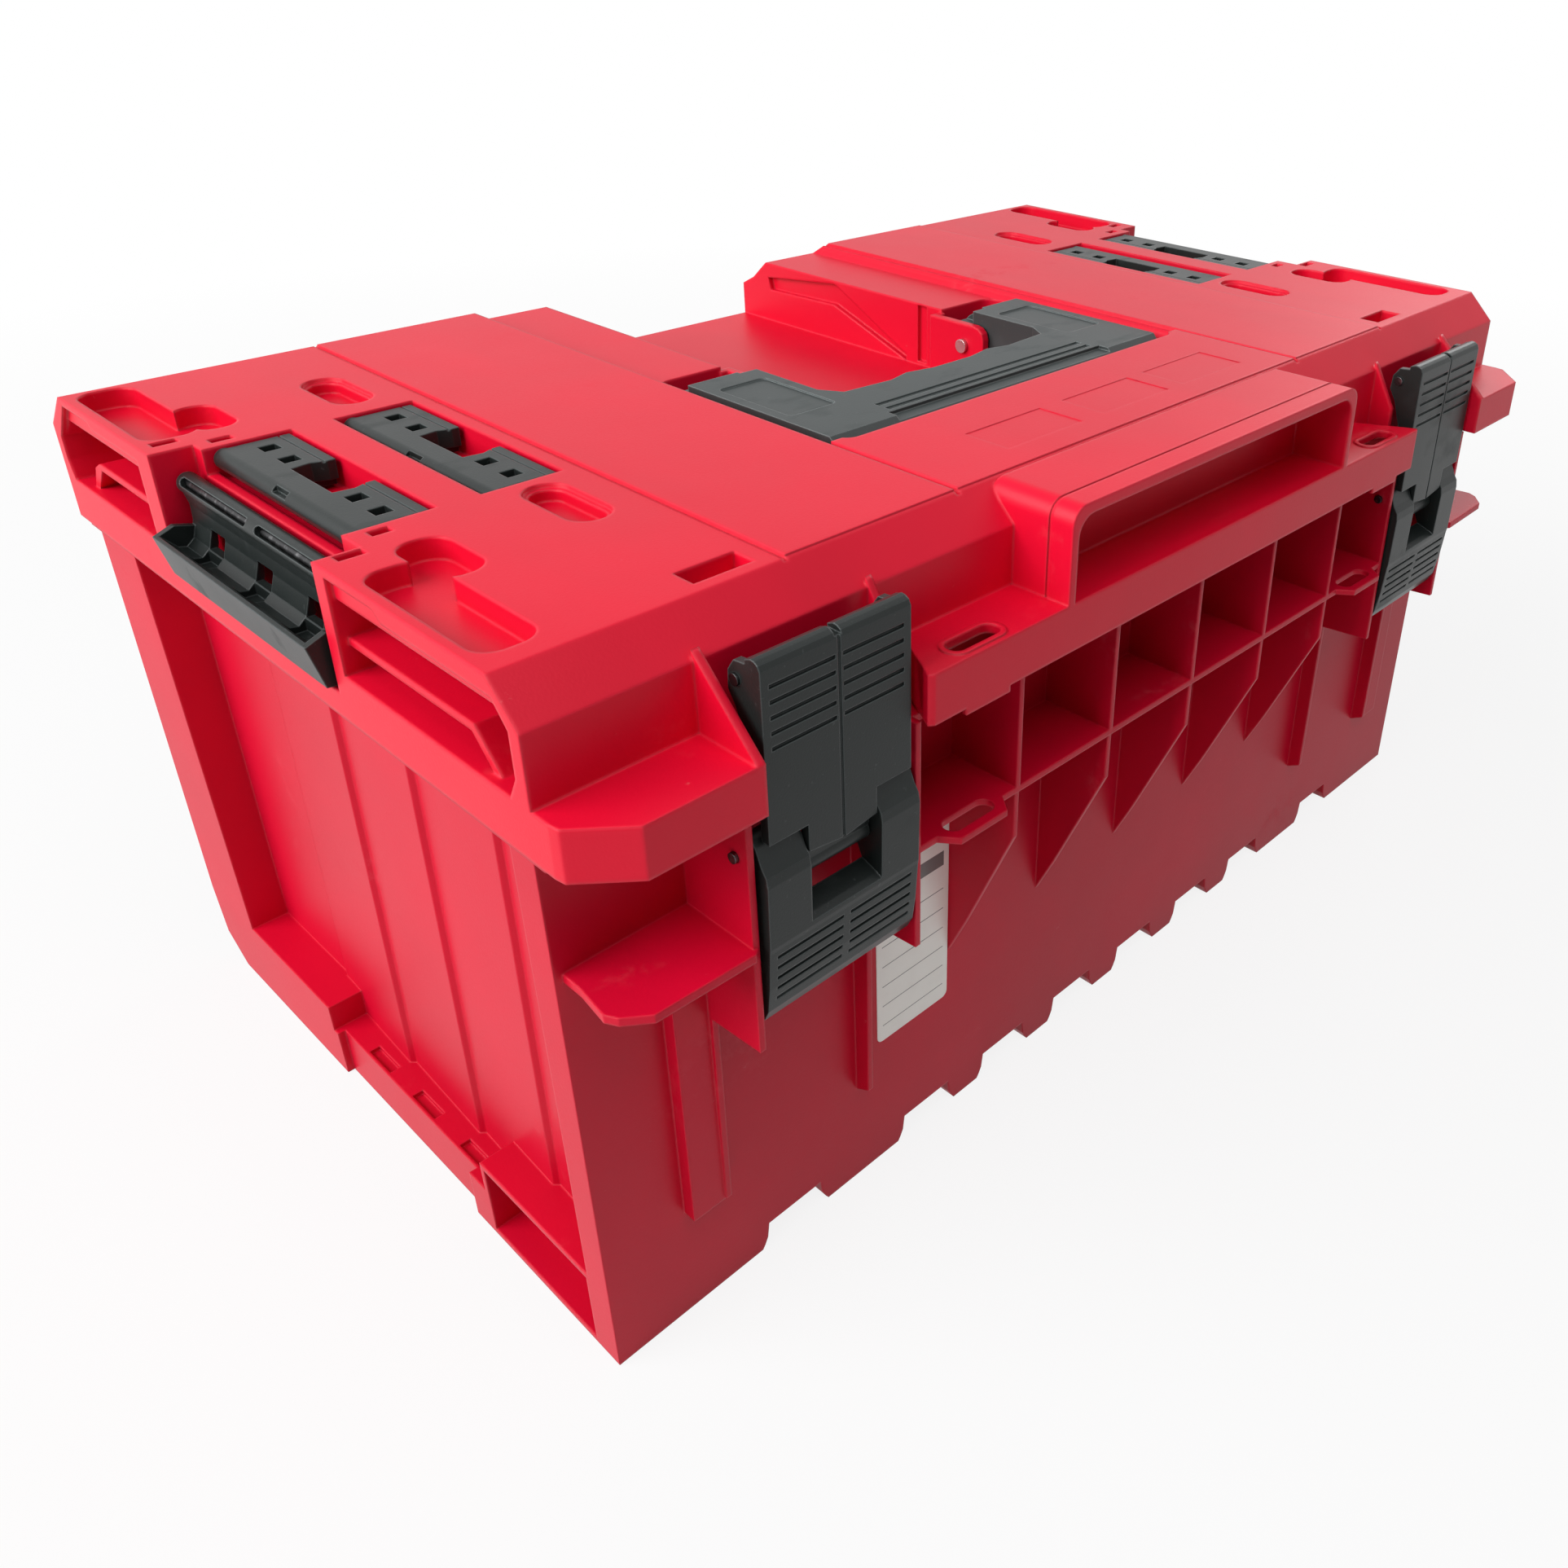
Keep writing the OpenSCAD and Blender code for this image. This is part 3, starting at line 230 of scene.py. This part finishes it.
def write_on_label():
    """The film, whose edge is softened: the front outline is drawn in from the back one."""
    film = bmesh.new()
    outline = label_outline(steps=6)
    middle_x, middle_z = (label_left + label_right) / 2, (label_foot + label_head) / 2
    rings = []
    for depth, inset in ((0.0, 0.0), (0.7, 0.0), (1.0, 0.0002)):
        y = front_wall - film_thickness * depth
        ring = []
        for x, z in outline:
            inward_x = math.copysign(inset, x - middle_x)
            inward_z = math.copysign(inset, z - middle_z)
            ring.append(film.verts.new((x - inward_x, y, z - inward_z)))
        rings.append(ring)
    for back, front in zip(rings, rings[1:]):
        for i in range(len(outline)):
            j = (i + 1) % len(outline)
            film.faces.new((back[i], back[j], front[j], front[i]))
    film.faces.new(rings[-1])
    film.faces.new(list(reversed(rings[0])))
    bmesh.ops.recalc_face_normals(film, faces=film.faces)
    mesh = bpy.data.meshes.new("write_on_label")
    film.to_mesh(mesh)
    film.free()
    mesh.materials.append(write_on_film())
    label = bpy.data.objects.new("write_on_label", mesh)
    bpy.context.scene.collection.objects.link(label)
    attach(label, "tub")


write_on_label()

# The seal is a square black rubber cord, pressed into the groove round the lid's edge. Its
# skin is dull and faintly pitted, with a grey bloom.


def rubber():
    """Matt black rubber with a bloom."""
    finish = Finish(bpy.data.materials.new("seal_rubber"))
    bloom = finish.clouds(0.02, 4.0)
    black = finish.blend(bloom.over(0.4, 0.4), (0.012, 0.012, 0.013), (0.035, 0.035, 0.036))
    pitted = finish.bump(finish.clouds(0.0012, 2.0), 0.0001, finish.rounded(0.0006), 0.6)
    return finish.surface(Base_Color=black, Roughness=0.7 + 0.15 * bloom, Normal=pitted)


dress("lid_seal", rubber())

# The lid is the same plastic from a second tool, a little brighter and with softer edges.
# It lies over the tub's rim and turns on knuckles moulded along its back edge.
dress("lid_shell", red_moulding(
    "lid_red", colour=(0.68, 0.0015, 0.026), deep=(0.59, 0.0012, 0.020),
    highlight_red=(0.90, 0.035, 0.070), edge_radius=0.0018, grain_size=0.0008, gloss=0.24))

# The hinge rods and the handle's pins are drawn steel, cut to length and pushed in. Drawing
# leaves fine lines along them, and they are dull in patches.


def drawn_steel():
    """Bright steel with fine lines along x."""
    finish = Finish(bpy.data.materials.new("drawn_steel"))
    lines = finish.clouds(0.0015, 3.0, (0.05, 1.0, 1.0))
    dull = finish.clouds(0.01, 3.0)
    grey = finish.blend(dull, (0.50, 0.50, 0.49), (0.64, 0.65, 0.67))
    drawn = finish.bump(lines, 0.00004, finish.rounded(0.0004), 0.5)
    return finish.surface(Base_Color=grey, Metallic=1.0, Roughness=0.24 + 0.16 * dull, Normal=drawn)


steel = drawn_steel()
for rod in ("hinge_rods", "handle_pins"):
    dress(rod, steel)

# The latches' and side clips' rods are the same wire, blackened so that they don't show
# between the dark fittings. Handling has bared the steel in spots.


def blackened_steel():
    """Blackened wire, bared in spots."""
    finish = Finish(bpy.data.materials.new("blackened_steel"))
    bared = finish.clouds(0.004, 3.0).over(0.52, 0.2)
    black = finish.blend(bared * 0.6, (0.05, 0.05, 0.052), (0.36, 0.36, 0.37))
    lines = finish.clouds(0.0012, 3.0, (0.05, 1.0, 1.0))
    drawn = finish.bump(lines, 0.00004, finish.rounded(0.0004), 0.5)
    rough = 0.38 - 0.10 * bared
    return finish.surface(Base_Color=black, Metallic=1.0, Roughness=rough, Normal=drawn)


black_wire = blackened_steel()
for rod in ("lever_pins", "clip_rods", "claw_pin_left", "claw_pin_right",
            "hook_rod_left", "hook_rod_right"):
    dress(rod, black_wire)

# The handle, latches, side clips and flaps are a harder, glass-filled plastic in a dark
# green-grey. It is glossier than the shells, and turns duller and paler where hands rub it.


def grey_moulding(name, colour, worn, dullness, grain_size):
    """Glass-filled plastic: grain, pale specks of fibre, handled patches and painted glints of
    paler grey on the edges.
    """
    light_grey = tuple(c * 1.25 for c in colour)
    # The paler grey of the painted glints on the edges.
    glint_grey = tuple(c * 4 for c in worn)
    fibre_grey = (0.16, 0.17, 0.17)
    finish = Finish(bpy.data.materials.new(name))
    shades = finish.clouds(0.04, 3.0)
    handled = finish.clouds(0.018, 4.0, (0.7, 1.3, 1.0)).over(0.56, 0.14)
    specks = finish.clouds(0.0022, 3.0).over(0.68, 0.05)
    skin = finish.rounded(0.0008)
    # Painted glints: the rounded edges are painted a paler grey, and the same mask makes them a
    # little glossier.
    painted_edge_highlight = finish.edges(skin)
    grey = finish.blend(shades, colour, light_grey)
    grey = finish.blend(handled * 0.3, grey, worn)
    grey = finish.blend(painted_edge_highlight * 0.8, grey, glint_grey)
    grey = finish.blend(specks * 0.12, grey, fibre_grey)
    grain = finish.clouds(grain_size, 2.0)
    normal = finish.bump(grain, 0.00007, skin, 0.6)
    rough = dullness + 0.12 * shades + 0.12 * handled - 0.06 * painted_edge_highlight
    return finish.surface(Base_Color=grey, Roughness=rough, Normal=normal,
                          Specular_IOR_Level=0.27)


dress("carry_handle", grey_moulding(
    "handle_grey", colour=(0.030, 0.036, 0.036), worn=(0.050, 0.056, 0.056),
    dullness=0.38, grain_size=0.0008))

fitting_grey = grey_moulding(
    "fitting_grey", colour=(0.010, 0.013, 0.0125), worn=(0.022, 0.026, 0.026),
    dullness=0.30, grain_size=0.0007)
for piece in ("latch_lever_left", "latch_lever_right", "latch_claw_left", "latch_claw_right",
              "side_clip_left", "side_clip_right", "flap_outer_left", "flap_inner_left",
              "flap_outer_right", "flap_inner_right"):
    dress(piece, fitting_grey)

# The case stands on a pale studio floor that runs out into white air. A broad lamp stands
# off its left end, a weaker one hangs overhead, and the weakest fills in its right end.
floor_size = 60.0
under_floor = 0.0002
paper_grey = (0.62, 0.62, 0.62)
shadow_share = 0.14


def looked_at_or_mirrored(finish):
    """1 for what the camera sees, straight or in a gloss, and 0 for the light on the object."""
    seen = finish.node("ShaderNodeLightPath", output="Is Camera Ray")
    glossy = finish.node("ShaderNodeLightPath", output="Is Glossy Ray")
    through = finish.node("ShaderNodeLightPath", output="Is Transmission Ray")
    return (seen + glossy + through).over(0.0, 1.0)


def studio_floor():
    """White to look at, but near the case a part of it is paper, which takes the shadow."""
    sheet = bmesh.new()
    bmesh.ops.create_grid(sheet, x_segments=1, y_segments=1, size=floor_size / 2)
    mesh = bpy.data.meshes.new("floor")
    sheet.to_mesh(mesh)
    sheet.free()
    floor = bpy.data.objects.new("floor", mesh)
    bpy.context.scene.collection.objects.link(floor)
    floor.location = (0, 0, -under_floor)
    finish = Finish(bpy.data.materials.new("floor_paper"))
    length = {"operation": "LENGTH"}
    away = finish.node("ShaderNodeVectorMath", length, {0: finish.place()}, output="Value")
    near = 1 - away.over(0.45, 1.1)
    paper = finish.node("ShaderNodeBsdfDiffuse", {}, {"Color": paper_grey})
    white = finish.node("ShaderNodeEmission", {}, {"Color": (1, 1, 1), "Strength": 1.0})
    whiteness = looked_at_or_mirrored(finish) * (1 - shadow_share * near)
    made = finish.node("ShaderNodeMixShader", {}, {0: whiteness, 1: paper, 2: white})
    finish.node("ShaderNodeOutputMaterial", {}, {"Surface": made})
    mesh.materials.append(finish.owner)


studio_floor()


def lamp(name, place, aim, size, power):
    """A rectangular lamp, with its size in metres and its power in watts."""
    light = bpy.data.lights.new(name, "AREA")
    light.shape = "RECTANGLE"
    light.size, light.size_y = size
    light.energy = power
    held = bpy.data.objects.new(name, light)
    held.location = place
    held.rotation_euler = (Vector(aim) - Vector(place)).to_track_quat("-Z", "Y").to_euler()
    bpy.context.scene.collection.objects.link(held)


lamp("left_lamp", (-2.0, 0.45, 1.45), aim=(-0.1, 0, 0.15), size=(2.2, 1.7), power=82)
lamp("top_lamp", (-0.3, -0.95, 2.2), aim=(0, 0, 0.2), size=(1.4, 1.4), power=19)
lamp("right_lamp", (2.2, 0.35, 1.5), aim=(0.1, 0, 0.15), size=(1.0, 1.0), power=12)

world = bpy.data.worlds.new("studio")
bpy.context.scene.world = world
air = Finish(world)
air_light = 0.14
level = air_light + (1 - air_light) * looked_at_or_mirrored(air)
white_air = air.node("ShaderNodeBackground", {}, {"Color": (1, 1, 1), "Strength": level})
air.node("ShaderNodeOutputWorld", {}, {"Surface": white_air})

# The camera stands to the left of the case's front corner and looks down a little, as the
# photographer did.
camera = bpy.data.objects.new("camera", bpy.data.cameras.new("camera"))
camera.data.sensor_width = 36
camera.data.lens = 31.96
camera.data.shift_x = -0.1234
camera.data.shift_y = -0.0896
camera.data.clip_start = 0.02
camera.location = (-0.4418, -0.4556, 0.4722)
camera.rotation_euler = [math.radians(a) for a in (61.758, -1.303, -47.711)]
bpy.context.scene.collection.objects.link(camera)
bpy.context.scene.camera = camera
bpy.context.scene.view_settings.view_transform = "Standard"
